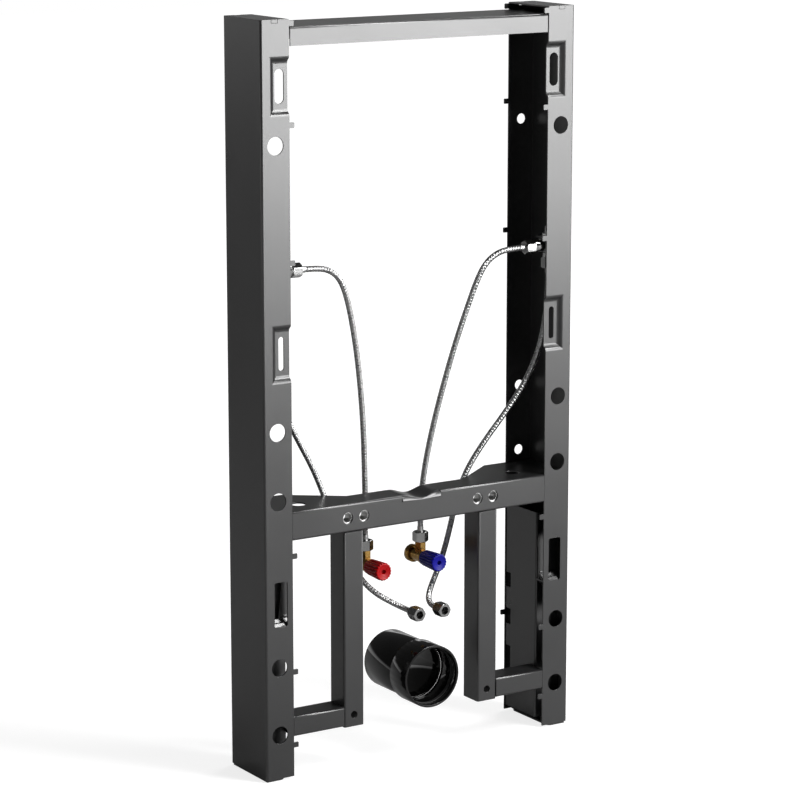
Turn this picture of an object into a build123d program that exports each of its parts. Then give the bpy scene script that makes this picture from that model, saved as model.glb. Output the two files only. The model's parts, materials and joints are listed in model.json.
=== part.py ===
# Bidet installation frame: two open sheet-steel posts with telescopic legs, a top rail,
# a bidet bar with leg brackets, braided supply hoses with angle valves, and a drain connector.
# Millimetres. +X is right, +Y is towards the wall, +Z is up. The origin is on the floor,
# midway between the posts and midway between the drain's mouth and the back of the posts.
# Each paired piece is drawn on the right, and its mirror image stands on the left.

import os
from math import asin, cos, radians, sin, tan

from build123d import *

# Overall sizes
frame_width = 482.0
post_height = 992.0
post_depth = 94.0
drain_reach = 26.0
foot_thickness = 3.0

# Sheet and clearances
sheet = 2.0
bend_radius = 2.6
weld_gap = 0.3
sliding_gap = 0.4

# Posts
flange_width = 41.5
flange_hole_radius = 11.8
flange_hole_inset = 20.5
rear_hole_radius = 7.0
flange_hole_heights = [59.5, 151.0, 373.0, 464.5]
rear_hole_heights = [373.0, 464.5]
top_hole_drop = 158.5
pin_length = 7.0
pin_height = 7.0
pin_heights = [42.5, 142.0, 298.0, 682.5]
pin_drops = [133.5, 5.5]
window_width = 19.5
window_height = 60.0
window_inset = 23.5
window_level = 236.0

# Recessed fixing tabs in the front flanges
recess_depth = 5.0
recess_width = 29.0
recess_height = 76.0
recess_slope = 9.5
slot_height = 44.0
slot_inset = 12.0
upper_slot_width = 13.5
lower_slot_width = 8.0
upper_recess_drop = 84.0
lower_recess_level = 566.0

# Post top plates
tab_width = 9.0
notch_depth = 4.5

# Top rail
rail_height = 24.0
rail_drop = 10.0
rail_end_gap = 1.7

# Bidet bar
bar_height = 38.5
bar_level = 338.0
bar_plate_depth = 40.0
bar_wing_start = 93.0
bar_wing_end = 162.0
bar_lip = 12.0
bolt_spacings = [180.0, 230.0]
bolt_hole_radius = 7.8
bush_bore_radius = 6.1
bush_across_flats = 19.0
bush_length = 16.0
saddle_width = 60.0
saddle_floor = 26.0
saddle_depth = 6.0
saddle_shoulder = 4.0
saddle_bend_radius = 8.0
saddle_lip_height = 5.0
saddle_lip = 1.0
wing_hole_radius = 10.0
wing_hole_offset = 170.0
wing_hole_setback = 35.0

# Leg brackets
bracket_width = 30.5
bracket_depth = 36.0
bracket_offset = 106.5
bracket_bottom = 52.5
crosspiece_height = 27.0
crosspiece_drop = 1.5
bracket_hole_radius = 5.0
bracket_hole_level = 68.5

# Telescopic legs
leg_setback = 18.5
leg_length = 300.0
leg_relief = 7.0
foot_inset = 11.5
foot_setback = 3.0
foot_corner = 8.0

# Leg clamps
clamp_gap = 0.8
clamp_reach = 5.5
clamp_width = 15.5
clamp_waist = 9.5
clamp_shelf_level = 207.0
clamp_ridge_level = 217.0
clamp_arm_level = 265.5
clamp_arm_height = 14.0
clamp_tail = 12.0

# Glides in the back edge of the legs
glide_width = 7.5
glide_depth = 12.0
glide_setback = 1.0
glide_levels = [79.0, 141.0, 193.5]
glide_heights = [38.0, 22.0, 20.5]

# Supply fittings
port_level = 670.0
port_setback = 17.5
elbow_inset = 15.0
elbow_radius = 8.0
elbow_core = 20.0
elbow_chamfer = 2.0
feed_port_reach = 24.5
outlet_port_reach = 16.0
stud_radius = 5.0
stud_length = 16.0
lock_nut_height = 5.0
hose_plate_width = 34.0
hose_plate_depth = 30.0
hose_nut_flats = 17.0
hose_nut_length = 15.0
nut_chamfer = 1.2
hose_diameter = 8.0

# Angle valves
valve_offset = 44.2
valve_level = 249.5
valve_body_radius = 8.5
valve_flange_radius = 12.0
valve_flange_thickness = 8.0
valve_flange_rim = 1.8
valve_flange_recess = 1.5
valve_collar_radius = 9.6
valve_collar_length = 3.0
valve_neck_flats = 14.0
valve_neck_setback = 71.5
valve_nut_flats = 19.0
valve_nut_bottom = 270.0
valve_nut_height = 14.0
knob_setback = 24.0
knob_length = 36.0
knob_front_radius = 12.5
knob_rear_radius = 10.8
knob_flutes = 18
knob_flute_depth = 1.1
knob_hole_radius = 2.3
knob_hole_depth = 6.0
stem_radius = 3.0
stem_gap = 0.06

# Outlet hose ends
outlet_offset = 19.9
outlet_level = 198.5
outlet_reach = 26.5
outlet_nut_length = 17.5
outlet_bore_radius = 5.5
outlet_bore_depth = 9.0

# Drain connector
drain_level = 110.0
socket_radius = 42.5
socket_length = 39.0
socket_bore_radius = 39.5
drain_pipe_radius = 39.8
drain_pipe_wall = 2.6
drain_length = 108.0
seal_setback = 9.0
seal_width = 7.0
seal_thickness = 1.6

# Derived places
half_width = frame_width / 2
post_bottom = foot_thickness
post_top = post_bottom + post_height
y_front = -(post_depth - drain_reach) / 2
y_back = y_front + post_depth
y_inner_front = y_front + sheet
y_inner_back = y_back - sheet
x_inner = half_width - flange_width
x_web = half_width - sheet
y_middle = (y_front + y_back) / 2
x_holes = half_width - flange_hole_inset
front_hole_levels = [post_bottom + z for z in flange_hole_heights] + [post_top - top_hole_drop]
rear_hole_levels = [post_bottom + z for z in rear_hole_heights] + [post_top - top_hole_drop]
pin_levels = [post_bottom + z for z in pin_heights] + [post_top - z for z in pin_drops]
upper_recess = post_top - upper_recess_drop
lower_recess = post_bottom + lower_recess_level

os.makedirs("parts", exist_ok=True)


def keep(builder, name):
    builder.part.label = name
    export_step(builder.part, f"parts/{name}.step")


def keep_pair(builder, name):
    keep(builder, "right_" + name)
    with BuildPart() as twin:
        add(mirror(builder.part, about=Plane.YZ, mode=Mode.PRIVATE))
    keep(twin, "left_" + name)


def front_plane(y):
    # Local x is +X and local y is +Z, at depth y.
    return Plane(origin=(0, y, 0), x_dir=(1, 0, 0), z_dir=(0, -1, 0))


# Posts: channels that open towards the middle, with recessed fixing tabs

# Each bend of a recess is made of this many flats.
recess_steps = 4


def recess_pan(offset, level):
    # The space in front of a pan with smoothly bent walls, run out past the flange's open edge.
    bend = (recess_slope**2 + recess_depth**2) / (4 * recess_depth)
    steepest = asin(recess_slope / (2 * bend))
    turns = [steepest * i / recess_steps for i in range(recess_steps + 1)]
    outline = [((bend - offset) * sin(a), bend * (1 - cos(a)) + offset * cos(a)) for a in turns]
    for a in turns[-2::-1]:
        inset = recess_slope - (bend + offset) * sin(a)
        outline.append((inset, recess_depth - bend * (1 - cos(a)) + offset * cos(a)))
    if offset:
        outline.insert(0, (0, 0))
    with BuildPart(mode=Mode.PRIVATE) as pan:
        for inset, depth in outline:
            with BuildSketch(front_plane(y_front + depth)):
                with Locations((x_inner, level)):
                    Rectangle(2 * (recess_width - inset), recess_height - 2 * inset)
        loft(ruled=True)
    return pan.part


with BuildPart() as post:
    with BuildSketch(Plane.XY.offset(post_bottom)) as channel:
        with Locations((half_width - flange_width / 2, y_middle)):
            Rectangle(flange_width, post_depth)
        fillet(channel.vertices().group_by(Axis.X)[-1], radius=bend_radius)
        with Locations((half_width - flange_width / 2 - sheet, y_middle)):
            Rectangle(flange_width, post_depth - 2 * sheet, mode=Mode.SUBTRACT)
    extrude(amount=post_height)
    for level in (upper_recess, lower_recess):
        add(recess_pan(sheet, level))
        add(recess_pan(0, level), mode=Mode.SUBTRACT)
    # The pans end at the flange's open edge.
    with BuildSketch(Plane.XY.offset(post_bottom)):
        with Locations((x_inner - flange_width / 2, y_middle)):
            Rectangle(flange_width, post_depth)
    extrude(amount=post_height, mode=Mode.SUBTRACT)
    # Slots, round holes and the window in the front flange
    with BuildSketch(front_plane(y_front)):
        with Locations((x_inner + slot_inset, upper_recess)):
            SlotOverall(slot_height, upper_slot_width, rotation=90)
        with Locations((x_inner + slot_inset, lower_recess)):
            SlotOverall(slot_height, lower_slot_width, rotation=90)
        with Locations(*[(x_holes, level) for level in front_hole_levels]):
            Circle(flange_hole_radius)
        with Locations((half_width - window_inset, post_bottom + window_level)):
            RectangleRounded(window_width, window_height, bend_radius)
    extrude(amount=-(recess_depth + 2 * sheet), mode=Mode.SUBTRACT)
    # Round holes in the back flange
    with BuildSketch(front_plane(y_back)):
        with Locations(*[(x_holes, level) for level in rear_hole_levels]):
            Circle(rear_hole_radius)
    extrude(amount=2 * sheet, mode=Mode.SUBTRACT)
    # Locating pins on the open edges of both flanges
    with BuildSketch(front_plane(y_front)) as pins:
        with Locations(*[(x_inner - pin_length / 2, level) for level in pin_levels]):
            Rectangle(pin_length, pin_height)
        fillet(pins.vertices().group_by(Axis.X)[0], radius=sheet / 2)
    extrude(amount=-sheet)
    with BuildSketch(front_plane(y_back)) as rear_pins:
        with Locations(*[(x_inner - pin_length / 2, level) for level in pin_levels]):
            Rectangle(pin_length, pin_height)
        fillet(rear_pins.vertices().group_by(Axis.X)[0], radius=sheet / 2)
    extrude(amount=sheet)
    # Notches in the top edges of both flanges
    with BuildSketch(Plane.XY.offset(post_top)):
        with Locations((x_holes, y_middle)):
            Rectangle(tab_width + 2 * weld_gap, post_depth)
    extrude(amount=-notch_depth - weld_gap, mode=Mode.SUBTRACT)
keep_pair(post, "post")

# Top plates: each closes a post between its flanges, with a tab bent down in the front notch
with BuildPart() as top_plate:
    with BuildSketch(Plane.XY.offset(post_top - sheet)):
        with Locations((half_width - flange_width / 2 - sheet / 2, y_middle)):
            Rectangle(flange_width - sheet - weld_gap, post_depth - 2 * (sheet + weld_gap))
        with Locations((x_holes, y_front + sheet)):
            Rectangle(tab_width, 2 * sheet)
    extrude(amount=sheet)
    with BuildSketch(front_plane(y_front)):
        with Locations((x_holes, post_top - notch_depth / 2)):
            Rectangle(tab_width, notch_depth)
    extrude(amount=-sheet)
keep_pair(top_plate, "post_top_plate")

# Top rail: a channel that opens downward, with tongues reaching between the flanges
rail_top = post_top - rail_drop
with BuildPart() as top_rail:
    with BuildSketch(Plane.YZ) as rail_section:
        with Locations((y_middle, rail_top - rail_height / 2)):
            Rectangle(post_depth, rail_height)
        fillet(rail_section.vertices().group_by(Axis.Y)[-1], radius=bend_radius)
        with Locations((y_middle, rail_top - rail_height / 2 - sheet)):
            Rectangle(post_depth - 2 * sheet, rail_height, mode=Mode.SUBTRACT)
    extrude(amount=x_inner - rail_end_gap, both=True)
    with BuildSketch(Plane.XY.offset(rail_top - sheet)):
        with Locations((0, y_middle)):
            Rectangle(2 * (x_web - weld_gap), post_depth - 2 * (sheet + weld_gap))
    extrude(amount=sheet)
keep(top_rail, "top_rail")

# Saddle: the middle line of a strip that dips below the bar's top

def saddle_line(gap):
    z_high = bar_top - sheet / 2
    z_low = z_high - saddle_depth
    return FilletPolyline(
        (-saddle_width / 2 - gap, z_high),
        (-saddle_width / 2 + saddle_shoulder, z_high),
        (-saddle_floor / 2, z_low),
        (saddle_floor / 2, z_low),
        (saddle_width / 2 - saddle_shoulder, z_high),
        (saddle_width / 2 + gap, z_high),
        radius=saddle_bend_radius,
    )


# Bidet bar: front wall, top plate with wings into the posts, and a lower lip
stud_places = [(side * s / 2, post_bottom + bar_level) for s in bolt_spacings for side in (-1, 1)]
bar_top = post_bottom + bar_level + bar_height / 2
bar_base = post_bottom + bar_level - bar_height / 2
y_wing = y_inner_back - weld_gap
x_wing = x_web - weld_gap
with BuildPart() as bar:
    with BuildSketch(Plane.YZ) as bar_section:
        with Locations((y_front + bar_lip / 2, bar_base + bar_height / 2)):
            Rectangle(bar_lip, bar_height)
        fillet(bar_section.vertices().group_by(Axis.X)[0], radius=bend_radius)
        with Locations((y_front + sheet + bar_lip / 2, bar_base + bar_height / 2)):
            Rectangle(bar_lip, bar_height - 2 * sheet, mode=Mode.SUBTRACT)
    extrude(amount=x_inner - weld_gap, both=True)
    with BuildSketch(Plane.XY.offset(bar_top - sheet)) as plate:
        with BuildLine():
            Polyline(
                (bar_wing_start, y_front + bar_plate_depth),
                (bar_wing_end, y_wing),
                (x_wing, y_wing),
                (x_wing, y_inner_front + weld_gap),
                (x_inner - weld_gap, y_inner_front + weld_gap),
                (x_inner - weld_gap, y_front + bar_lip / 2),
                (0, y_front + bar_lip / 2),
                (0, y_front + bar_plate_depth),
                close=True,
            )
        make_face()
        mirror(about=Plane.YZ)
        with Locations((wing_hole_offset, y_front + wing_hole_setback)):
            Circle(wing_hole_radius, mode=Mode.SUBTRACT)
        with Locations((-wing_hole_offset, y_front + wing_hole_setback)):
            Circle(wing_hole_radius, mode=Mode.SUBTRACT)
    extrude(amount=sheet)
    # The cut-out that the saddle tray fills
    with BuildSketch(front_plane(y_front)):
        with BuildLine():
            saddle_line(weld_gap)
        trace(line_width=sheet + 2 * weld_gap)
        with BuildLine():
            middle = saddle_line(weld_gap)
            z_over = bar_top + sheet
            Polyline(middle @ 1, (saddle_width / 2, z_over), (-saddle_width / 2, z_over), middle @ 0)
        make_face()
    extrude(amount=-bar_plate_depth, mode=Mode.SUBTRACT)
    # Stud holes
    with BuildSketch(front_plane(y_front)):
        with Locations(*stud_places):
            Circle(bolt_hole_radius)
    extrude(amount=-sheet, mode=Mode.SUBTRACT)
keep(bar, "bidet_bar")

# Saddle tray: a pressed strip that dips below the bar's top, with a lip at the front
with BuildPart() as tray:
    with BuildSketch(front_plane(y_front - weld_gap - saddle_lip)):
        with BuildLine():
            saddle_line(0)
        trace(line_width=sheet)
    extrude(amount=-(saddle_lip + weld_gap + bar_plate_depth))
    with BuildSketch(front_plane(y_front - weld_gap)):
        with Locations((0, bar_top - saddle_depth - sheet + saddle_lip_height / 2)):
            Rectangle(saddle_width, saddle_lip_height)
    extrude(amount=saddle_lip)
keep(tray, "saddle_tray")

# Hexagonal bushes behind the stud holes
with BuildPart() as bushes:
    with BuildSketch(front_plane(y_inner_front)):
        with Locations(*stud_places):
            RegularPolygon(bush_across_flats / 2, 6, major_radius=False)
            Circle(bush_bore_radius, mode=Mode.SUBTRACT)
    extrude(amount=-bush_length)
keep(bushes, "bolt_bushes")

# Leg brackets: a box upright under the bar and a crosspiece to each post
bracket_base = post_bottom + bracket_bottom
bracket_top = bar_base - weld_gap
y_bracket = y_front + bracket_depth / 2
with BuildPart() as upright:
    with BuildSketch(Plane.XY.offset(bracket_base)) as box:
        with Locations((bracket_offset, y_bracket)):
            RectangleRounded(bracket_width, bracket_depth, bend_radius)
            Rectangle(bracket_width - 2 * sheet, bracket_depth - 2 * sheet, mode=Mode.SUBTRACT)
    extrude(amount=bracket_top - bracket_base)
    with BuildSketch(front_plane(y_front)):
        with Locations((bracket_offset, post_bottom + bracket_hole_level)):
            Circle(bracket_hole_radius)
    extrude(amount=-2 * sheet, mode=Mode.SUBTRACT)
keep_pair(upright, "bracket_upright")

x_crosspiece = bracket_offset + bracket_width / 2 + weld_gap
crosspiece_base = bracket_base + crosspiece_drop
with BuildPart() as crosspiece:
    with BuildSketch(Plane.YZ.offset(x_crosspiece)) as cross_section:
        with Locations((y_bracket, crosspiece_base + crosspiece_height / 2)):
            RectangleRounded(bracket_depth, crosspiece_height, bend_radius)
            Rectangle(bracket_depth - 2 * sheet, crosspiece_height - 2 * sheet, mode=Mode.SUBTRACT)
    extrude(amount=x_inner - weld_gap - x_crosspiece)
keep_pair(crosspiece, "bracket_crosspiece")

# Telescopic legs: channels that fill the posts' depth up to the clamps, with a foot plate below each
x_leg = x_inner + sliding_gap
x_leg_back = x_web - sliding_gap
x_foot = x_inner + foot_inset
y_leg_front = y_front + leg_setback
y_leg_back = y_inner_back - sliding_gap
leg_depth = y_leg_back - y_leg_front
leg_width = x_leg_back - x_leg
leg_middle = ((x_leg + x_leg_back) / 2, (y_leg_front + y_leg_back) / 2)
with BuildPart() as leg:
    with BuildSketch(Plane.XY.offset(foot_thickness)) as leg_section:
        with Locations(leg_middle):
            Rectangle(leg_width, leg_depth)
        fillet(leg_section.vertices().group_by(Axis.X)[0], radius=bend_radius)
        with Locations((leg_middle[0] + sheet, leg_middle[1])):
            Rectangle(leg_width, leg_depth - 2 * sheet, mode=Mode.SUBTRACT)
    extrude(amount=leg_length)
    # The inner side ends above the foot plate.
    with BuildSketch(Plane.XY.offset(foot_thickness)):
        with Locations(((x_leg + x_foot) / 2, leg_middle[1])):
            Rectangle(x_foot - x_leg, leg_depth)
    extrude(amount=leg_relief, mode=Mode.SUBTRACT)
    # Notches for the glides in the inner back edge
    for level, height in zip(glide_levels, glide_heights):
        with BuildSketch(Plane.XY.offset(level - height / 2)):
            with Locations((x_leg + glide_width / 2, y_leg_back - glide_depth / 2)):
                Rectangle(glide_width, glide_depth)
        extrude(amount=height, mode=Mode.SUBTRACT)
keep_pair(leg, "leg")

# Glides: plastic blocks in the notches, which bear on the back flange
y_glide = y_leg_back - glide_depth + weld_gap
x_glide = x_leg + glide_setback
x_glide_end = x_leg + glide_width - weld_gap
with BuildPart() as glides:
    for level, height in zip(glide_levels, glide_heights):
        with BuildSketch(Plane.XY.offset(level - height / 2 + weld_gap)):
            with Locations(((x_glide + x_glide_end) / 2, (y_glide + y_leg_back) / 2)):
                Rectangle(x_glide_end - x_glide, y_leg_back - y_glide)
        extrude(amount=height - 2 * weld_gap)
keep_pair(glides, "leg_glides")

with BuildPart() as foot:
    with BuildSketch(Plane.XY) as sole:
        with Locations(((x_foot + x_web) / 2, (y_front + foot_setback + y_inner_back) / 2)):
            Rectangle(x_web - x_foot, y_inner_back - y_front - foot_setback)
        fillet(sole.vertices().group_by(Axis.X)[0], radius=foot_corner)
    extrude(amount=foot_thickness - sliding_gap)
    with BuildSketch(Plane.XY.offset(foot_thickness - sliding_gap)):
        with Locations(((x_foot + x_leg_back) / 2, leg_middle[1])):
            Rectangle(x_leg_back - x_foot, leg_depth)
    extrude(amount=sliding_gap)
keep_pair(foot, "foot_plate")

# Leg clamps: plates behind the windows, with a shelf that bears on the leg and an arm to the post
y_clamp_back = y_leg_front - clamp_gap
y_clamp = y_clamp_back - clamp_reach
x_clamp = x_inner + weld_gap
clamp_shelf = post_bottom + clamp_shelf_level
clamp_arm = post_bottom + clamp_arm_level
with BuildPart() as clamp:
    with BuildSketch(front_plane(y_clamp)):
        with BuildLine():
            Polyline(
                (x_clamp, clamp_arm - clamp_arm_height),
                (x_clamp, clamp_shelf - sheet),
                (x_clamp + clamp_waist, clamp_shelf - clamp_tail),
                (x_clamp + clamp_width, clamp_shelf - clamp_tail),
                (x_clamp + clamp_width, clamp_shelf),
                (x_clamp + clamp_waist, clamp_arm),
                (x_web - weld_gap, clamp_arm),
                (x_web - weld_gap, clamp_arm + clamp_arm_height),
                (x_clamp + clamp_waist, clamp_arm + clamp_arm_height),
            )
            RadiusArc(
                (x_clamp, clamp_arm - clamp_arm_height),
                (x_clamp + clamp_waist, clamp_arm + clamp_arm_height),
                2 * clamp_arm_height,
            )
        make_face()
    extrude(amount=-sheet)
    y_shelf = y_inner_front + weld_gap
    with BuildSketch(Plane.XY.offset(clamp_shelf)):
        with Locations((x_clamp + clamp_width / 2, (y_shelf + y_clamp_back) / 2)):
            Rectangle(clamp_width, y_clamp_back - y_shelf)
    extrude(amount=-sheet)
    with BuildSketch(Plane.YZ.offset(x_clamp)):
        with Locations((y_clamp, post_bottom + clamp_ridge_level)):
            Circle(sheet / 2)
    extrude(amount=clamp_waist)
keep_pair(clamp, "leg_clamp")

# Hexagonal nuts: their outer corners are turned off at both ends

def hex_nut(plane, x, y, flats, length, bore=0):
    # The nut reaches from the plane against its normal.
    corner_radius = flats / 3**0.5
    with BuildPart(mode=Mode.PRIVATE) as turned:
        with BuildSketch(plane):
            with Locations((x, y)):
                Circle(corner_radius)
        extrude(amount=-length)
        chamfer(turned.edges().filter_by(GeomType.CIRCLE), length=nut_chamfer)
    with BuildPart(mode=Mode.PRIVATE) as nut:
        with BuildSketch(plane):
            with Locations((x, y)):
                RegularPolygon(flats / 2, 6, major_radius=False)
        extrude(amount=-length)
        add(turned.part, mode=Mode.INTERSECT)
        if bore:
            with BuildSketch(plane):
                with Locations((x, y)):
                    Circle(bore)
            extrude(amount=-length, mode=Mode.SUBTRACT)
    return nut


# Elbows: one port points to the middle, one down, and a stud goes up through the plate
x_elbow = x_inner + elbow_inset
y_port = y_front + port_setback
z_port = post_bottom + port_level
feed_port_x = x_elbow - feed_port_reach
outlet_port_z = z_port - outlet_port_reach
plate_z = z_port + elbow_core / 2
with BuildPart() as elbow:
    with Locations((x_elbow, y_port, z_port)):
        Box(elbow_core, elbow_core, elbow_core)
    chamfer(elbow.edges(), length=elbow_chamfer)
    with BuildSketch(Plane.YZ.offset(x_elbow)):
        with Locations((y_port, z_port)):
            Circle(elbow_radius)
    extrude(amount=-feed_port_reach)
    with BuildSketch(Plane.XY.offset(z_port)):
        with Locations((x_elbow, y_port)):
            Circle(elbow_radius)
    extrude(amount=-outlet_port_reach)
    with BuildSketch(Plane.XY.offset(z_port)):
        with Locations((x_elbow, y_port)):
            Circle(stud_radius)
    extrude(amount=elbow_core / 2 + stud_length)
keep_pair(elbow, "supply_elbow")

# Plates that carry the elbows, welded to the posts' outer walls
with BuildPart() as hose_plate:
    with BuildSketch(Plane.XY.offset(plate_z)):
        with Locations((x_web - weld_gap - hose_plate_width / 2, y_port)):
            Rectangle(hose_plate_width, hose_plate_depth)
        with Locations((x_elbow, y_port)):
            Circle(stud_radius + weld_gap, mode=Mode.SUBTRACT)
    extrude(amount=sheet)
    with BuildSketch(Plane.XY.offset(plate_z)):
        with Locations((x_web - weld_gap - sheet / 2, y_port)):
            Rectangle(sheet, hose_plate_depth)
    extrude(amount=hose_plate_width)
keep_pair(hose_plate, "hose_plate")

# Lock nuts on the elbows' studs
stud_end = Plane.XY.offset(plate_z + sheet + lock_nut_height)
lock_nut = hex_nut(stud_end, x_elbow, y_port, hose_nut_flats, lock_nut_height, stud_radius)
keep_pair(lock_nut, "elbow_lock_nut")

# Hose nuts at the elbows
feed_hose_x = feed_port_x - hose_nut_length
feed_nut = hex_nut(Plane.YZ.offset(feed_port_x), y_port, z_port, hose_nut_flats, hose_nut_length)
keep_pair(feed_nut, "feed_hose_nut")

outlet_hose_z = outlet_port_z - hose_nut_length
outlet_top_nut = hex_nut(Plane.XY.offset(outlet_port_z), x_elbow, y_port, hose_nut_flats, hose_nut_length)
keep_pair(outlet_top_nut, "outlet_hose_top_nut")

# Angle valves: an inlet flange at the wall, a body along Y and a neck up to the hose nut
z_valve = post_bottom + valve_level
y_neck = y_front + valve_neck_setback
y_knob = y_front + knob_setback
y_knob_end = y_knob + knob_length
y_collar = y_knob_end + 2 * sliding_gap
z_valve_nut = post_bottom + valve_nut_bottom
with BuildPart() as valve:
    with BuildSketch(front_plane(y_back)):
        with Locations((valve_offset, z_valve)):
            Circle(valve_flange_radius)
    extrude(amount=valve_flange_thickness)
    with BuildSketch(front_plane(y_back - valve_flange_thickness)):
        with Locations((valve_offset, z_valve)):
            Circle(valve_flange_radius - valve_flange_rim)
    extrude(amount=-valve_flange_recess, mode=Mode.SUBTRACT)
    with BuildSketch(front_plane(y_back)):
        with Locations((valve_offset, z_valve)):
            Circle(valve_body_radius)
    extrude(amount=y_back - y_collar)
    with BuildSketch(front_plane(y_collar)):
        with Locations((valve_offset, z_valve)):
            Circle(valve_collar_radius)
    extrude(amount=-valve_collar_length)
    with BuildSketch(front_plane(y_back)):
        with Locations((valve_offset, z_valve)):
            Circle(stem_radius)
    extrude(amount=y_back - y_knob - knob_length / 2)
    with BuildSketch(Plane.XY.offset(z_valve)):
        with Locations((valve_offset, y_neck)):
            RegularPolygon(valve_neck_flats / 2, 6, major_radius=False)
    extrude(amount=z_valve_nut - z_valve)
keep_pair(valve, "valve_body")

z_valve_hose = z_valve_nut + valve_nut_height
valve_nut = hex_nut(Plane.XY.offset(z_valve_hose), valve_offset, y_neck, valve_nut_flats, valve_nut_height)
keep_pair(valve_nut, "valve_nut")

# Knobs: tapered and fluted, bored at the back for the stem
def knob_section(y, radius):
    # A ribbed outline: each rib is a pair of corners on the circle, each flute a pair below it.
    corners = []
    for i in range(4 * knob_flutes):
        far = radius if i % 4 < 2 else radius - knob_flute_depth
        turn = radians(i * 90 / knob_flutes)
        corners.append((far * cos(turn), far * sin(turn)))
    with BuildSketch(front_plane(y)) as outline:
        with Locations((valve_offset, z_valve)):
            Polygon(*corners, align=None)
    return outline.sketch


with BuildPart() as knob:
    add(knob_section(y_knob_end, knob_rear_radius))
    add(knob_section(y_knob, knob_front_radius))
    loft(ruled=True)
    with BuildSketch(front_plane(y_knob)):
        with Locations((valve_offset, z_valve)):
            Circle(knob_hole_radius)
    extrude(amount=-knob_hole_depth, mode=Mode.SUBTRACT)
    with BuildSketch(front_plane(y_knob_end)):
        with Locations((valve_offset, z_valve)):
            Circle(stem_radius + stem_gap)
    extrude(amount=knob_length / 2 + sliding_gap, mode=Mode.SUBTRACT)
keep_pair(knob, "knob")

# Nuts on the free ends of the outlet hoses
y_outlet = y_front - outlet_reach
z_outlet = post_bottom + outlet_level
y_outlet_hose = y_outlet + outlet_nut_length
with BuildPart() as outlet_nut:
    add(hex_nut(front_plane(y_outlet), outlet_offset, z_outlet, hose_nut_flats, outlet_nut_length).part)
    with BuildSketch(front_plane(y_outlet)):
        with Locations((outlet_offset, z_outlet)):
            Circle(outlet_bore_radius)
    extrude(amount=-outlet_bore_depth, mode=Mode.SUBTRACT)
keep_pair(outlet_nut, "outlet_hose_nut")

# Braided hoses: straight runs joined by tangent arcs through these points
feed_route = [
    (feed_hose_x, y_port, z_port),
    (150.0, y_port, z_port),
    (130.0, -15.5, 668.5),
    (114.0, -13.3, 656.0),
    (103.0, -10.5, 635.0),
    (93.0, -6.5, 605.0),
    (81.5, 0.5, 565.0),
    (70.0, 9.0, 516.0),
    (58.0, 20.0, 454.0),
    (49.0, 31.0, 390.0),
    (valve_offset, y_neck, 332.0),
    (valve_offset, y_neck, z_valve_hose),
]
outlet_route = [
    (x_elbow, y_port, outlet_hose_z),
    (x_elbow, y_port, 606.0),
    (213.0, -12.0, 566.0),
    (206.5, -6.0, 524.0),
    (189.0, 1.0, 482.0),
    (163.0, 11.0, 441.0),
    (136.0, 22.0, 402.0),
    (113.5, 32.0, 362.0),
    (98.5, 33.0, 322.0),
    (84.5, 28.0, 282.0),
    (69.5, 22.0, 250.0),
    (55.0, 16.0, 229.0),
    (41.0, 7.0, 215.5),
    (29.4, -5.3, 207.7),
    (23.2, -16.6, 203.6),
    (outlet_offset, -29.5, z_outlet),
    (outlet_offset, y_outlet_hose, z_outlet),
]


def corner_radii(route):
    points = [Vector(*p) for p in route]
    radii = []
    for before, corner, after in zip(points, points[1:], points[2:]):
        turn = (corner - before).get_angle(after - corner)
        shorter = min((corner - before).length, (after - corner).length)
        radii.append(0.45 * shorter / tan(radians(turn) / 2))
    return radii


def hose(route, name):
    radii = corner_radii(route)
    print(name, "arc radii", [round(r) for r in radii])
    with BuildPart() as tube:
        with BuildLine() as path:
            FilletPolyline(*route, radius=radii)
        with BuildSketch(Plane(origin=path.line @ 0, z_dir=path.line % 0)):
            Circle(hose_diameter / 2)
        sweep()
    keep_pair(tube, name)


hose(feed_route, "feed_hose")
hose(outlet_route, "outlet_hose")

# Drain connector: a socket, the pipe behind it and a seal ring in the mouth
y_drain = y_front - drain_reach
z_drain = post_bottom + drain_level
y_step = y_drain + socket_length
y_seal = y_drain + seal_setback
with BuildPart() as socket:
    with BuildSketch(front_plane(y_drain)):
        with Locations((0, z_drain)):
            Circle(socket_radius)
            Circle(socket_bore_radius, mode=Mode.SUBTRACT)
    extrude(amount=-socket_length)
    with BuildSketch(front_plane(y_seal)):
        with Locations((0, z_drain)):
            Circle(socket_bore_radius + seal_thickness)
    extrude(amount=-seal_width, mode=Mode.SUBTRACT)
keep(socket, "drain_socket")

with BuildPart() as pipe:
    with BuildSketch(front_plane(y_step)):
        with Locations((0, z_drain)):
            Circle(drain_pipe_radius)
            Circle(drain_pipe_radius - drain_pipe_wall, mode=Mode.SUBTRACT)
    extrude(amount=-(drain_length - socket_length))
keep(pipe, "drain_pipe")

with BuildPart() as seal:
    with BuildSketch(front_plane(y_seal)):
        with Locations((0, z_drain)):
            Circle(socket_bore_radius + seal_thickness)
            Circle(socket_bore_radius, mode=Mode.SUBTRACT)
    extrude(amount=-seal_width)
keep(seal, "drain_seal")
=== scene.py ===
# Looks of the bidet installation frame: coated sheet steel, braided supply hoses with nickel nuts,
# brass angle valves with a red and a blue knob, and a glossy black drain connector.
# Metres. +X is right, +Y is towards the wall, +Z is up.

import json
import math

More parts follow.
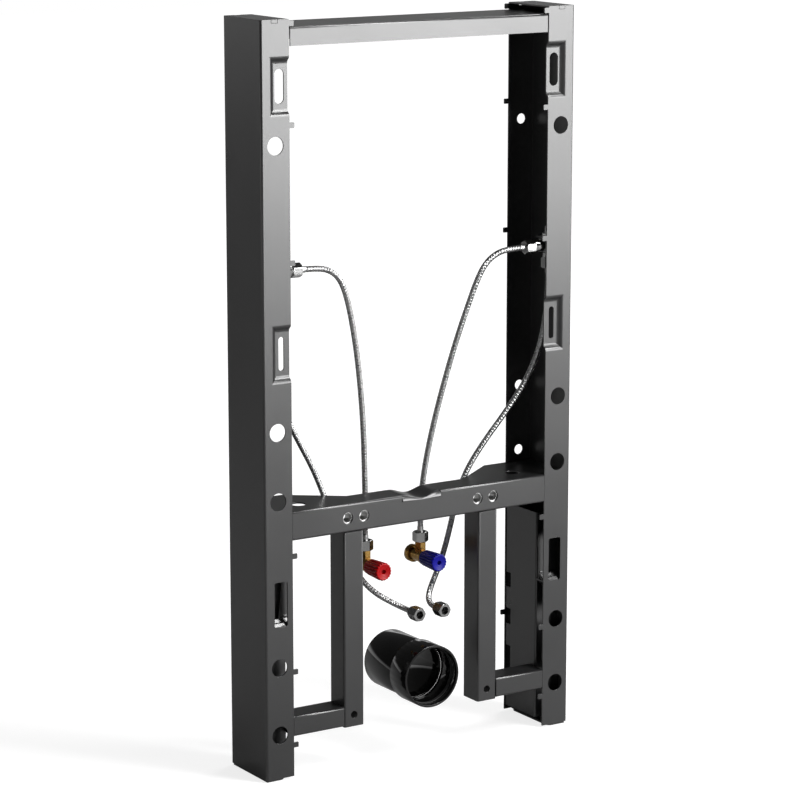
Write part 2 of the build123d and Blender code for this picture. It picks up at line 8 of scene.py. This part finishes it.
import bmesh
import bpy
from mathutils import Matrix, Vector


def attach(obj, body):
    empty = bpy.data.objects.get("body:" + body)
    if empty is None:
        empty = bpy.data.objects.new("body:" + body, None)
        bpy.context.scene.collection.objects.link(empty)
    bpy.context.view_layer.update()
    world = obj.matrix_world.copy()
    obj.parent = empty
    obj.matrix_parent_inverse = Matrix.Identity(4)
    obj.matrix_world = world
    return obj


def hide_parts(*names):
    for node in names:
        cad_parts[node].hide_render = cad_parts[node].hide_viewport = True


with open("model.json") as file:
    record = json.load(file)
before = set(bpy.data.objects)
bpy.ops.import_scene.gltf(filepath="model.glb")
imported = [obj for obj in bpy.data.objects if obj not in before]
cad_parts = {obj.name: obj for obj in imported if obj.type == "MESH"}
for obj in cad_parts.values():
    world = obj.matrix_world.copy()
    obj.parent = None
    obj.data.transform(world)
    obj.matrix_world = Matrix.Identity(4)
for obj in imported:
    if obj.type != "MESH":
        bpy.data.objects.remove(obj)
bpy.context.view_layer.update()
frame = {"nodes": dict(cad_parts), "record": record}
nodes = frame["nodes"]

SIDES = {"left": -1, "right": 1}
to_right = (1, 0, 0)
to_front = (0, -1, 0)
to_wall = (0, 1, 0)
upwards = (0, 0, 1)
downwards = (0, 0, -1)


# Camera: it stands in front of the frame at the left, above its top, and looks down on it

camera_place = (-2.1296, -3.3041, 1.2910)
camera_turn = math.radians(32.648)
camera_tilt = math.radians(11.652)
camera_lens = 135.9
sensor_width = 36


def make_camera():
    data = bpy.data.cameras.new("camera")
    data.sensor_width = sensor_width
    data.lens = camera_lens
    camera = bpy.data.objects.new("camera", data)
    camera.location = camera_place
    camera.rotation_euler = (math.radians(90) - camera_tilt, 0, -camera_turn)
    bpy.context.scene.collection.objects.link(camera)
    bpy.context.scene.camera = camera


# Node helpers. The noise hardly leaves the range from noise_low to noise_high

noise_low = 0.3
noise_high = 0.7


def new_material(name):
    material = bpy.data.materials.new(name)
    material.use_nodes = True
    return material, material.node_tree, material.node_tree.nodes["Principled BSDF"]


def calculation(tree, kind, operation):
    made = tree.nodes.new(kind)
    made.operation = operation
    return made


def noise(tree, scale, detail, roughness):
    place = tree.nodes.new("ShaderNodeTexCoord")
    texture = tree.nodes.new("ShaderNodeTexNoise")
    texture.inputs["Scale"].default_value = scale
    texture.inputs["Detail"].default_value = detail
    texture.inputs["Roughness"].default_value = roughness
    tree.links.new(place.outputs["Object"], texture.inputs["Vector"])
    return texture.outputs["Fac"]


def colour_between(tree, source, low, high):
    made = tree.nodes.new("ShaderNodeValToRGB")
    made.color_ramp.elements[0].position = noise_low
    made.color_ramp.elements[1].position = noise_high
    made.color_ramp.elements[0].color = (*low, 1)
    made.color_ramp.elements[1].color = (*high, 1)
    tree.links.new(source, made.inputs["Fac"])
    return made.outputs["Color"]


def value_between(tree, source, low, high):
    made = tree.nodes.new("ShaderNodeMapRange")
    made.inputs["From Min"].default_value = noise_low
    made.inputs["From Max"].default_value = noise_high
    made.inputs["To Min"].default_value = low
    made.inputs["To Max"].default_value = high
    tree.links.new(source, made.inputs["Value"])
    return made.outputs["Result"]


def surface(name, colours, roughness, patches, grain, relief, metallic=0.0, ior=1.5):
    # Colour and roughness vary in patches, and a finer grain makes the relief.
    # patches and grain are a scale per metre, a detail and a roughness, relief a strength and a height
    material, tree, shader = new_material(name)
    shader.inputs["Metallic"].default_value = metallic
    shader.inputs["IOR"].default_value = ior
    wide = noise(tree, *patches)
    tree.links.new(colour_between(tree, wide, *colours), shader.inputs["Base Color"])
    tree.links.new(value_between(tree, wide, *roughness), shader.inputs["Roughness"])
    strength, height = relief
    bump = tree.nodes.new("ShaderNodeBump")
    bump.inputs["Strength"].default_value = strength
    bump.inputs["Distance"].default_value = height
    tree.links.new(noise(tree, *grain), bump.inputs["Height"])
    tree.links.new(bump.outputs["Normal"], shader.inputs["Normal"])
    return material


# Materials

def grey(level):
    return (level, level, level)


def coated_steel():
    # Graphite powder coat: a fine orange-peel surface with a soft sheen
    return surface(
        "frame_coating",
        colours=((0.010, 0.010, 0.0104), (0.014, 0.014, 0.0145)),
        roughness=(0.27, 0.31),
        patches=(6, 4, 0.55),
        grain=(900, 2, 0.5),
        relief=(0.08, 0.0002),
        ior=1.75,
    )


def metal(name, colours, roughness, patch_scale=60):
    return surface(
        name,
        colours=colours,
        roughness=roughness,
        patches=(patch_scale, 4, 0.6),
        grain=(1500, 2, 0.5),
        relief=(0.1, 0.0001),
        metallic=1.0,
    )


def plastic(name, colours, roughness, relief_strength=0.05, ior=1.5):
    return surface(
        name,
        colours=colours,
        roughness=roughness,
        patches=(40, 3, 0.5),
        grain=(1200, 2, 0.5),
        relief=(relief_strength, 0.0001),
        ior=ior,
    )


coating = coated_steel()
nickel = metal("nickel_fittings", (grey(0.34), (0.46, 0.46, 0.455)), (0.09, 0.16))
zinc = metal("zinc_steel", ((0.45, 0.45, 0.44), grey(0.62)), (0.24, 0.38))
braid_wire = metal("steel_braid", (grey(0.30), grey(0.54)), (0.25, 0.34), patch_scale=300)
brass = metal("brass", ((0.30, 0.17, 0.045), (0.42, 0.26, 0.08)), (0.20, 0.34))
hot_plastic = plastic("hot_knob", ((0.31, 0.0015, 0.003), (0.38, 0.003, 0.005)), (0.26, 0.34), ior=1.28)
cold_plastic = plastic("cold_knob", ((0.003, 0.003, 0.17), (0.005, 0.005, 0.22)), (0.26, 0.34), ior=1.28)
glide_plastic = plastic("glide_plastic", (grey(0.002), grey(0.004)), (0.6, 0.7), ior=1.15)
drain_plastic = plastic("drain_plastic", (grey(0.0022), grey(0.0035)), (0.06, 0.1), relief_strength=0.02)
seal_rubber = plastic("seal_rubber", (grey(0.008), grey(0.012)), (0.5, 0.65))


# Places that the solid model gives

feed_start_x = 0.175
feed_nut_x = 0.190
port_y = -0.0165
port_z = 0.673
valve_x = 0.0442
valve_y = 0.0375
valve_z = 0.287
elbow_x = 0.2145
outlet_top_z = 0.642
outlet_x = 0.0199
outlet_y = -0.043
outlet_z = 0.2015
knob_front_y = -0.010
knob_z = 0.2525
drain_mouth = (0, -0.060, 0.113)


# Cords: the points that the tubes of the solid model follow, on the right side

hose_diameter = 0.008
feed_route = [
    (feed_start_x, port_y, port_z),
    (0.150, port_y, port_z),
    (0.130, -0.0155, 0.6685),
    (0.114, -0.0133, 0.656),
    (0.103, -0.0105, 0.635),
    (0.093, -0.0065, 0.605),
    (0.0815, 0.0005, 0.565),
    (0.070, 0.009, 0.516),
    (0.058, 0.020, 0.454),
    (0.049, 0.031, 0.390),
    (valve_x, valve_y, 0.332),
    (valve_x, valve_y, valve_z),
]
outlet_route = [
    (elbow_x, port_y, outlet_top_z),
    (elbow_x, port_y, 0.606),
    (0.213, -0.012, 0.566),
    (0.2065, -0.006, 0.524),
    (0.189, 0.001, 0.482),
    (0.163, 0.011, 0.441),
    (0.136, 0.022, 0.402),
    (0.1135, 0.032, 0.362),
    (0.0985, 0.033, 0.322),
    (0.0845, 0.028, 0.282),
    (0.0695, 0.022, 0.250),
    (0.055, 0.016, 0.229),
    (0.041, 0.007, 0.2155),
    (0.0294, -0.0053, 0.2077),
    (0.0232, -0.0166, 0.2036),
    (outlet_x, -0.0295, outlet_z),
    (outlet_x, outlet_y, outlet_z),
]
feed_length = 0.447
outlet_length = 0.537


# Mesh helpers

sharp_angle = math.radians(32)
same_point = 1e-7


def mesh_data(name, mesh):
    data = bpy.data.meshes.new(name)
    mesh.to_mesh(data)
    mesh.free()
    return data


def link(name, data, material, body="frame", slot=None, replaced=()):
    made = bpy.data.objects.new(name, data)
    bpy.context.scene.collection.objects.link(made)
    data.materials.append(material)
    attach(made, body)
    if replaced:
        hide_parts(*replaced)
    return made


def join_rings(mesh, low, high):
    # Faces between two rings of points. A ring of a single point makes a fan of triangles
    count = max(len(low), len(high))
    for k in range(count):
        after = (k + 1) % count
        corners = [low[k % len(low)], low[after % len(low)]]
        corners += [high[after % len(high)], high[k % len(high)]]
        mesh.faces.new(list(dict.fromkeys(corners)))


def radial_piece(name, origin, axis, facing, stations, count, reach, material, **rides):
    # A closed surface around an axis: each station is a distance along it, a radius and a weight
    axis = Vector(axis).normalized()
    facing = Vector(facing).normalized()
    side = axis.cross(facing)
    mesh = bmesh.new()
    rings = []
    for run, radius, weight in stations:
        middle = Vector(origin) + axis * run
        if radius == 0:
            rings.append([mesh.verts.new(middle)])
            continue
        ring = []
        for k in range(count):
            turn = 2 * math.pi * k / count
            far = reach(turn, radius, weight)
            ring.append(mesh.verts.new(middle + far * (math.cos(turn) * facing + math.sin(turn) * side)))
        rings.append(ring)
    for low, high in zip(rings, rings[1:]):
        join_rings(mesh, low, high)
    bmesh.ops.remove_doubles(mesh, verts=mesh.verts, dist=same_point)
    bmesh.ops.recalc_face_normals(mesh, faces=mesh.faces)
    data = mesh_data(name, mesh)
    data.shade_smooth()
    data.set_sharp_from_angle(angle=sharp_angle)
    return link(name, data, material, **rides)


def round_reach(turn, radius, weight):
    return radius


# Hexagonal nuts with turned ends, a rim and a bore. One of the six flats faces to the given side

hose_nut = {"flats": 0.017, "length": 0.015, "bore": 0.006}
valve_nut = {"flats": 0.019, "length": 0.014, "bore": 0.0066}
bore_depth = 0.001
bore_rounding = 0.0004
back_bore = 0.0045
back_depth = 0.002
end_rim = 0.0008
end_share = 0.95
nut_chamfer = 0.0011
chamfer_steps = 4
nut_points = 96


def hex_stations(flats, length, bore):
    corner = flats / 3**0.5
    start = flats / 2 * end_share
    chamfer = []
    for i in range(chamfer_steps + 1):
        share = i / chamfer_steps
        chamfer.append((nut_chamfer * share, start + (corner - start) * share))
    made = [(bore_depth, 0, 0), (bore_depth, bore, 0), (bore_rounding, bore, 0)]
    made += [(bore_rounding / 4, bore + bore_rounding, 0), (0, bore + 2 * bore_rounding, 0)]
    made.append((0, start - end_rim, 0))
    made += [(run, radius, 1) for run, radius in chamfer]
    made += [(length - run, radius, 1) for run, radius in reversed(chamfer)]
    made += [(length, start - end_rim, 0), (length, back_bore, 0)]
    made += [(length - back_depth, back_bore, 0), (length - back_depth, 0, 0)]
    return made


def hex_reach(flats):
    def reach(turn, radius, weight):
        sixth = math.pi / 3
        off = (turn + sixth / 2) % sixth - sixth / 2
        return min(radius, flats / 2 / math.cos(off)) if weight else radius
    return reach


def make_nut(name, origin, axis, facing, sizes, replaced):
    stations = hex_stations(**sizes)
    reach = hex_reach(sizes["flats"])
    radial_piece(
        name, origin, axis, facing, stations, nut_points, reach, nickel,
        slot="nickel_fittings", replaced=[replaced],
    )


def make_nuts():
    for side, sign in SIDES.items():
        make_nut(
            f"{side}_feed_union", (sign * feed_nut_x, port_y, port_z), (-sign, 0, 0), to_front,
            hose_nut, f"{side}_feed_hose_nut",
        )
        make_nut(
            f"{side}_outlet_union", (sign * elbow_x, port_y, outlet_top_z + hose_nut["length"]), downwards,
            to_right, hose_nut, f"{side}_outlet_hose_top_nut",
        )
        make_nut(
            f"{side}_valve_union", (sign * valve_x, valve_y, valve_z - valve_nut["length"]), upwards,
            to_right, valve_nut, f"{side}_valve_nut",
        )


# Knobs: tapered, with rounded ribs, a rimmed front and a hollow in the middle.
# The outline is distances behind the front, radii and shares of the ribs' depth

knob_ribs = 18
points_per_rib = 8
rib_depth = 0.0012
knob_hollow = [
    (0.005, 0, 0), (0.005, 0.0024, 0), (0.0046, 0.0029, 0), (0.0012, 0.0031, 0), (0.0007, 0.0034, 0),
    (0.00055, 0.0039, 0),
]
knob_front = [
    (0.00055, 0.0086, 0), (0.0004, 0.0091, 0), (0.00012, 0.0096, 0), (0.00002, 0.0101, 0),
    (0.00005, 0.0107, 0.1), (0.0003, 0.0113, 0.4), (0.0008, 0.0119, 0.8), (0.0016, 0.0123, 1),
]
knob_side = [
    (0.0026, 0.0125, 1), (0.009, 0.0122, 1), (0.017, 0.0118, 1), (0.025, 0.0114, 1), (0.0326, 0.011, 1),
    (0.0342, 0.01085, 1), (0.0352, 0.0105, 0.8), (0.0358, 0.0099, 0.4),
]
knob_back = [(0.036, 0.0092, 0), (0.036, 0.0044, 0), (0.020, 0.0044, 0), (0.020, 0, 0)]


def rib_reach(turn, radius, weight):
    return radius - weight * rib_depth * (1 - abs(math.cos(knob_ribs * turn / 2)))


def make_knobs():
    stations = knob_hollow + knob_front + knob_side + knob_back
    count = knob_ribs * points_per_rib
    for side, sign in SIDES.items():
        slot, material = ("hot_knob", hot_plastic) if side == "left" else ("cold_knob", cold_plastic)
        origin = (sign * valve_x, knob_front_y, knob_z)
        radial_piece(
            f"{side}_knob_grip", origin, to_wall, to_right, stations, count, rib_reach, material,
            body=f"{side}_knob_head", slot=slot, replaced=[f"{side}_knob"],
        )


# Rings of rubber: a lip in the mouth of the drain socket, and flat gaskets in the outlet hoses' open
# nuts. Each outline is distances behind the mouth or the nut's front, and radii

drain_lip = [
    (0.0100, 0.0393), (0.0102, 0.0387), (0.0110, 0.0384), (0.0150, 0.0386), (0.0152, 0.0390),
    (0.0152, 0.0393), (0.0100, 0.0393),
]
lip_points = 96
gasket = [
    (0.0060, 0.0026), (0.0060, 0.0044), (0.0064, 0.0052), (0.0088, 0.0052), (0.0088, 0.0026),
    (0.0060, 0.0026),
]
gasket_points = 32
open_nut_reach = 0.0175


def rubber_ring(name, origin, outline, count, **rides):
    stations = [(run, radius, 0) for run, radius in outline]
    return radial_piece(
        name, origin, to_wall, to_right, stations, count, round_reach, seal_rubber,
        slot="seal_rubber", **rides,
    )


def make_seal():
    rubber_ring("drain_lip_ring", drain_mouth, drain_lip, lip_points, replaced=["drain_seal"])


def make_gaskets():
    made = {}
    for side, sign in SIDES.items():
        origin = (sign * outlet_x, outlet_y - open_nut_reach, outlet_z)
        made[side] = rubber_ring(f"{side}_outlet_gasket", origin, gasket, gasket_points)
    return made


# Clamps: two sloping lips that show in the lower edge of each window

lip_near_x = 0.2004
lip_far_x = 0.2282
lip_slope = [
    (-0.0317, 0.2078), (-0.0315, 0.2088), (-0.0290, 0.2124), (-0.0284, 0.2129), (-0.0276, 0.2130),
    (-0.0254, 0.2131), (-0.0250, 0.2136), (-0.0228, 0.2168), (-0.0222, 0.2173), (-0.0214, 0.2174),
]
lip_thickness = 0.0014


def make_clamp_lips():
    under = [(y, z - lip_thickness) for y, z in reversed(lip_slope)]
    outline = lip_slope + under
    for side, sign in SIDES.items():
        mesh = bmesh.new()
        near = [mesh.verts.new((sign * lip_near_x, y, z)) for y, z in outline]
        far = [mesh.verts.new((sign * lip_far_x, y, z)) for y, z in outline]
        join_rings(mesh, near, far)
        mesh.faces.new(near)
        mesh.faces.new(far)
        bmesh.ops.recalc_face_normals(mesh, faces=mesh.faces)
        name = f"{side}_clamp_lips"
        link(name, mesh_data(name, mesh), coating, slot="frame_coating")


# Saddle: a pressed dip whose front edge rolls down over the bar's face

saddle_half = 0.031
saddle_flat_edge = 0.003
saddle_back_y = 0.006
saddle_front_y = -0.0352
saddle_top_z = 0.36025
saddle_drop = 0.0085
saddle_dip = 0.006
saddle_sheet = 0.001
saddle_strips = 44
saddle_floor_steps = 14
saddle_roll_steps = 12


def saddle_row(mesh, x):
    # One line of the pressing, from its back edge over the roll to its lower front edge
    share = min(abs(x) / (saddle_half - saddle_flat_edge), 1)
    dip = saddle_dip * (0.5 + 0.5 * math.cos(math.pi * share))
    level = saddle_top_z - dip
    roll = saddle_drop - dip
    turn_y = saddle_front_y + roll
    row = []
    for k in range(saddle_floor_steps):
        y = saddle_back_y + (turn_y - saddle_back_y) * k / saddle_floor_steps
        row.append(mesh.verts.new((x, y, level)))
    for k in range(saddle_roll_steps + 1):
        angle = math.pi / 2 * k / saddle_roll_steps
        y = turn_y - roll * math.sin(angle)
        row.append(mesh.verts.new((x, y, level - roll * (1 - math.cos(angle)))))
    return row


def make_saddle():
    mesh = bmesh.new()
    rows = []
    for i in range(saddle_strips + 1):
        rows.append(saddle_row(mesh, saddle_half * (2 * i / saddle_strips - 1)))
    for low, high in zip(rows, rows[1:]):
        for k in range(len(low) - 1):
            mesh.faces.new((low[k], low[k + 1], high[k + 1], high[k]))
    data = mesh_data("saddle_pressing", mesh)
    data.shade_smooth()
    made = link("saddle_pressing", data, coating, slot="frame_coating", replaced=["saddle_tray"])
    wall = made.modifiers.new("wall", "SOLIDIFY")
    wall.thickness = saddle_sheet
    wall.offset = -1


# Braided hoses: a core, twelve flat strands woven round it, and a crimped sleeve at each end

route_order = 3
route_resolution = 24
braid_step = 0.0008
strands_each_way = 6
strand_pitch = 0.026
strand_half_width = 0.00135
strand_thickness = 0.00045
weave_depth = 0.00022
core_radius = 0.0033
core_sides = 16
core_every = 6
sleeve_outline = [(0, 0.0040), (0, 0.0043), (0.0056, 0.0043), (0.0064, 0.0042), (0.0064, 0.0039)]
sleeve_sides = 24


def route_points(route, sign):
    # The smooth line that a NURBS spline makes of the route, as points
    curve = bpy.data.curves.new("route", "CURVE")
    curve.dimensions = "3D"
    spline = curve.splines.new("NURBS")
    spline.points.add(len(route) - 1)
    for point, (x, y, z) in zip(spline.points, route):
        point.co = (sign * x, y, z, 1)
    spline.order_u = route_order
    spline.use_endpoint_u = True
    spline.resolution_u = route_resolution
    carrier = bpy.data.objects.new("route", curve)
    bpy.context.scene.collection.objects.link(carrier)
    bpy.context.view_layer.update()
    mesh = bpy.data.meshes.new_from_object(carrier)
    points = [vertex.co.copy() for vertex in mesh.vertices]
    bpy.data.objects.remove(carrier)
    bpy.data.meshes.remove(mesh)
    return points


def even_steps(points, step):
    # The same line cut into steps of equal length, and its length
    runs = [0.0]
    for low, high in zip(points, points[1:]):
        runs.append(runs[-1] + (high - low).length)
    length = runs[-1]
    count = max(2, round(length / step))
    made = []
    at = 0
    for i in range(count + 1):
        target = length * i / count
        while at < len(points) - 2 and runs[at + 1] < target:
            at += 1
        share = (target - runs[at]) / max(runs[at + 1] - runs[at], 1e-9)
        made.append(points[at].lerp(points[at + 1], min(max(share, 0), 1)))
    return made, length


def carried_places(points):
    # Each point with two directions across the line, carried along without twist
    places = []
    tangent = (points[1] - points[0]).normalized()
    across = tangent.orthogonal().normalized()
    for i, point in enumerate(points):
        ahead = points[min(i + 1, len(points) - 1)] - points[max(i - 1, 0)]
        ahead.normalize()
        across = tangent.rotation_difference(ahead) @ across
        across = (across - ahead * across.dot(ahead)).normalized()
        tangent = ahead
        places.append((point, across, ahead.cross(across)))
    return places


def point_round(mesh, place, radius, angle):
    middle, across, up = place
    return mesh.verts.new(middle + radius * (math.cos(angle) * across + math.sin(angle) * up))


def ring_round(mesh, place, radius, count):
    return [point_round(mesh, place, radius, 2 * math.pi * k / count) for k in range(count)]


def add_core(mesh, places):
    rings = [ring_round(mesh, place, core_radius, core_sides) for place in places[::core_every]]
    rings.append(ring_round(mesh, places[-1], core_radius, core_sides))
    for low, high in zip(rings, rings[1:]):
        join_rings(mesh, low, high)
    mesh.faces.new(reversed(rings[0]))
    mesh.faces.new(rings[-1])


def add_strand(mesh, places, step, way, start):
    # A strand winds one way round the core, over and under the strands that wind the other way
    middle = hose_diameter / 2 - strand_thickness / 2 - weave_depth
    half_angle = strand_half_width / middle
    half_thickness = strand_thickness / 2
    rings = []
    for i, place in enumerate(places):
        turn = 2 * math.pi * i * step / strand_pitch
        radius = middle + way * weave_depth * math.cos(strands_each_way * turn)
        angle = start + way * turn
        rings.append([
            point_round(mesh, place, radius + half_thickness, angle - half_angle),
            point_round(mesh, place, radius + half_thickness, angle + half_angle),
            point_round(mesh, place, radius - half_thickness, angle + half_angle),
            point_round(mesh, place, radius - half_thickness, angle - half_angle),
        ])
    for low, high in zip(rings, rings[1:]):
        join_rings(mesh, low, high)
    mesh.faces.new(rings[0])
    mesh.faces.new(reversed(rings[-1]))


def add_sleeve(mesh, places, step):
    rings = []
    for run, radius in sleeve_outline:
        rings.append(ring_round(mesh, places[round(run / step)], radius, sleeve_sides))
    for low, high in zip(rings, rings[1:] + rings[:1]):
        join_rings(mesh, low, high)


def braided_hose(name, points):
    steps, length = even_steps(points, braid_step)
    places = carried_places(steps)
    step = length / (len(places) - 1)
    between = 2 * math.pi / strands_each_way
    mesh = bmesh.new()
    add_core(mesh, places)
    for way, offset in ((1, 0), (-1, 0.5)):
        for strand in range(strands_each_way):
            add_strand(mesh, places, step, way, between * (strand + offset))
    add_sleeve(mesh, places, step)
    add_sleeve(mesh, places[::-1], step)
    bmesh.ops.recalc_face_normals(mesh, faces=mesh.faces)
    return link(name, mesh_data(name, mesh), braid_wire, slot="steel_braid")


def make_hoses(gaskets):
    kinds = (
        ("feed", feed_route, feed_length, "object"),
        ("outlet", outlet_route, outlet_length, "connector"),
    )
    for side, sign in SIDES.items():
        for kind, route, real, far in kinds:
            points = route_points(route, sign)
            hose = braided_hose(f"{side}_{kind}_braid", points)
            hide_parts(f"{side}_{kind}_hose")


# Finish of the solid model's own pieces

finishes = {
    "frame_coating": coating,
    "zinc_steel": zinc,
    "brass": brass,
    "nickel_fittings": nickel,
    "steel_braid": braid_wire,
    "hot_knob": hot_plastic,
    "cold_knob": cold_plastic,
    "drain_plastic": drain_plastic,
    "seal_rubber": seal_rubber,
}
weld_distance = 0.00001
flat_angle = math.radians(1)
edge_angle = math.radians(35)
edge_segments = 2
edge_width = 0.0012
fine_edge_width = 0.0005
finely_edged = ("drain_pipe", "drain_socket", "left_leg", "right_leg")


def finish_nodes():
    slots = {row["node"]: row["material_slot"] for row in frame["record"]["subparts"]}
    for name, piece in nodes.items():
        piece.data.materials.clear()
        piece.data.materials.append(glide_plastic if "glides" in name else finishes[slots[name]])
        weld = piece.modifiers.new("weld", "WELD")
        weld.merge_threshold = weld_distance
        flat = piece.modifiers.new("flat", "DECIMATE")
        flat.decimate_type = "DISSOLVE"
        flat.angle_limit = flat_angle
        edge = piece.modifiers.new("edge", "BEVEL")
        edge.width = fine_edge_width if name in finely_edged else edge_width
        edge.segments = edge_segments
        edge.limit_method = "ANGLE"
        edge.angle_limit = edge_angle
        edge.use_clamp_overlap = True
        edge.harden_normals = True


# Floor: white for the camera, which sees a glow on it that grows to full white away from the frame.
# Under the frame the lamps give the rest of the white, so their shadow stays. Mirrored, it is dark

floor_half = 12.0
floor_colour = grey(0.32)
floor_roughness = 0.9
floor_glow = 0.79
floor_mirrored = 0.05
full_glow = 1.0
glow_starts = 0.8
glow_full_at = 4.5


def make_floor():
    corners = [(-floor_half, -floor_half, 0), (floor_half, -floor_half, 0)]
    corners += [(floor_half, floor_half, 0), (-floor_half, floor_half, 0)]
    data = bpy.data.meshes.new("floor")
    data.from_pydata(corners, [], [(0, 1, 2, 3)])
    floor = bpy.data.objects.new("floor", data)
    bpy.context.scene.collection.objects.link(floor)
    material, tree, shader = new_material("floor")
    shader.inputs["Base Color"].default_value = (*floor_colour, 1)
    shader.inputs["Roughness"].default_value = floor_roughness
    shader.inputs["Specular IOR Level"].default_value = 0.0
    shader.inputs["Emission Color"].default_value = (1, 1, 1, 1)
    rays = tree.nodes.new("ShaderNodeLightPath")
    place = tree.nodes.new("ShaderNodeTexCoord")
    distance = calculation(tree, "ShaderNodeVectorMath", "LENGTH")
    glow = tree.nodes.new("ShaderNodeMapRange")
    seen = calculation(tree, "ShaderNodeMath", "MAXIMUM")
    shown = calculation(tree, "ShaderNodeMath", "MULTIPLY")
    level = calculation(tree, "ShaderNodeMath", "MULTIPLY_ADD")
    glow.interpolation_type = "SMOOTHSTEP"
    glow.inputs["From Min"].default_value = glow_starts
    glow.inputs["From Max"].default_value = glow_full_at
    glow.inputs["To Min"].default_value = floor_glow
    glow.inputs["To Max"].default_value = full_glow
    tree.links.new(place.outputs["Object"], distance.inputs[0])
    tree.links.new(distance.outputs["Value"], glow.inputs["Value"])
    tree.links.new(rays.outputs["Is Camera Ray"], seen.inputs[0])
    tree.links.new(rays.outputs["Is Transmission Ray"], seen.inputs[1])
    tree.links.new(seen.outputs[0], shown.inputs[0])
    tree.links.new(glow.outputs["Result"], shown.inputs[1])
    tree.links.new(rays.outputs["Is Glossy Ray"], level.inputs[0])
    level.inputs[1].default_value = floor_mirrored
    tree.links.new(shown.outputs[0], level.inputs[2])
    tree.links.new(level.outputs[0], shader.inputs["Emission Strength"])
    data.materials.append(material)


# World: white for the camera. Mirrored, it is white up to just above the horizon and a dim room
# higher up, and as light on the frame it is a soft grey

sky_level = 0.2
room_level = 0.06
horizon_top = 0.05
room_bottom = 0.12


def make_world():
    world = bpy.data.worlds.new("world")
    bpy.context.scene.world = world
    world.use_nodes = True
    tree = world.node_tree
    background = tree.nodes["Background"]
    rays = tree.nodes.new("ShaderNodeLightPath")
    place = tree.nodes.new("ShaderNodeTexCoord")
    parts = tree.nodes.new("ShaderNodeSeparateXYZ")
    mirrored = tree.nodes.new("ShaderNodeMapRange")
    glossy = tree.nodes.new("ShaderNodeMix")
    seen = calculation(tree, "ShaderNodeMath", "MAXIMUM")
    level = tree.nodes.new("ShaderNodeMix")
    mirrored.inputs["From Min"].default_value = horizon_top
    mirrored.inputs["From Max"].default_value = room_bottom
    mirrored.inputs["To Min"].default_value = 1.0
    mirrored.inputs["To Max"].default_value = room_level
    glossy.inputs["A"].default_value = sky_level
    level.inputs["B"].default_value = 1.0
    background.inputs["Color"].default_value = (1, 1, 1, 1)
    tree.links.new(place.outputs["Generated"], parts.inputs["Vector"])
    tree.links.new(parts.outputs["Z"], mirrored.inputs["Value"])
    tree.links.new(rays.outputs["Is Glossy Ray"], glossy.inputs["Factor"])
    tree.links.new(mirrored.outputs["Result"], glossy.inputs["B"])
    tree.links.new(rays.outputs["Is Camera Ray"], seen.inputs[0])
    tree.links.new(rays.outputs["Is Transmission Ray"], seen.inputs[1])
    tree.links.new(seen.outputs[0], level.inputs["Factor"])
    tree.links.new(glossy.outputs["Result"], level.inputs["A"])
    tree.links.new(level.outputs["Result"], background.inputs["Strength"])


# Lamps: each with its place, the point that it faces, its width and height, and its watts

lamps = {
    "front_softbox": ((2.3, -3.6, 1.25), (0.1, 0, 0.9), (2.2, 2.3), 165),
    "top_softbox": ((0.95, -1.5, 2.7), (0, 0, 0.5), (0.6, 1.9), 90),
    "left_softbox": ((-3.6, 1.4, 1.3), (0, 0, 0.5), (0.8, 1.2), 3),
    "rear_softbox": ((3.0, 1.5, 2.4), (1.0, 1.1, 0), (1.6, 1.6), 60),
}


def make_lamps():
    for name, (place, target, (width, height), watts) in lamps.items():
        data = bpy.data.lights.new(name, "AREA")
        data.shape = "RECTANGLE"
        data.size = width
        data.size_y = height
        data.energy = watts
        lamp = bpy.data.objects.new(name, data)
        lamp.location = place
        lamp.rotation_euler = (Vector(target) - Vector(place)).to_track_quat("-Z", "Y").to_euler()
        bpy.context.scene.collection.objects.link(lamp)


make_camera()
make_nuts()
make_knobs()
make_seal()
make_saddle()
make_clamp_lips()
make_hoses(make_gaskets())
finish_nodes()
make_floor()
make_world()
make_lamps()

bpy.context.scene.view_settings.view_transform = "Standard"
